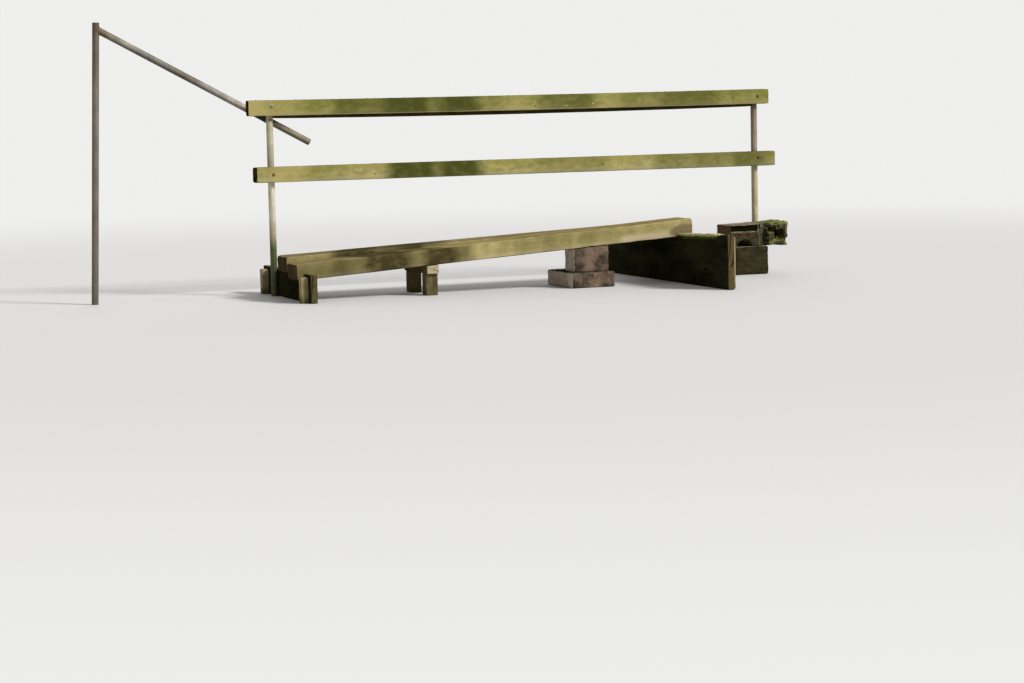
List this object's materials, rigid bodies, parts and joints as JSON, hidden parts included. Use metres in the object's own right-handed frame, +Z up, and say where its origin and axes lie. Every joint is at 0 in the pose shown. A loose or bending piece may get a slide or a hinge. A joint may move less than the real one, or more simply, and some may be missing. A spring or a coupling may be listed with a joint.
{
  "type": "timber footbridge",
  "caption": "Low timber footbridge with a gently rising deck on plank, pile and stone supports, a handrail on tube posts along one side and a sloping approach rail.",
  "frame": {"origin": "middle of the footprint, at the lowest ground that the supports stand on", "axes": "+X along the handrail from the low bank to the high bank, +Y across the bridge towards the handrail, +Z up"},
  "size_m": [5.2788, 2.14, 1.9564],
  "materials": {
    "rail_wood": "sawn softwood under a thin coat of green algae",
    "deck_wood": "weathered squared timber, algae on the sides, worn bare on top",
    "dark_wood": "old wet dark timber, with moss on the top edges near the ground",
    "stake_wood": "rough sawn stake, pale and algae stained",
    "stone": "rough squared stone",
    "galvanised_tube": "dull weathered galvanised tube"
  },
  "bodies": {
    "root": {"top_rail": "rail_wood", "middle_rail": "rail_wood", "front_deck_timber": "deck_wood", "back_deck_timber": "deck_wood", "top_rail_strip": "dark_wood", "left_board": "dark_wood", "right_upper_board": "dark_wood", "right_lower_board": "dark_wood", "kerb_upper_timber": "dark_wood", "kerb_lower_timber": "dark_wood", "left_front_peg": "stake_wood", "left_back_peg": "stake_wood", "right_front_peg": "stake_wood", "right_back_peg": "stake_wood", "trestle_cap": "stake_wood", "trestle_front_pile": "stake_wood", "trestle_back_pile": "stake_wood", "pier_footing": "stone", "pier_front_block": "stone", "pier_back_block": "stone", "left_post": "galvanised_tube", "right_post": "galvanised_tube", "approach_rail": "galvanised_tube", "approach_post": "galvanised_tube"}
  },
  "joints": []
}
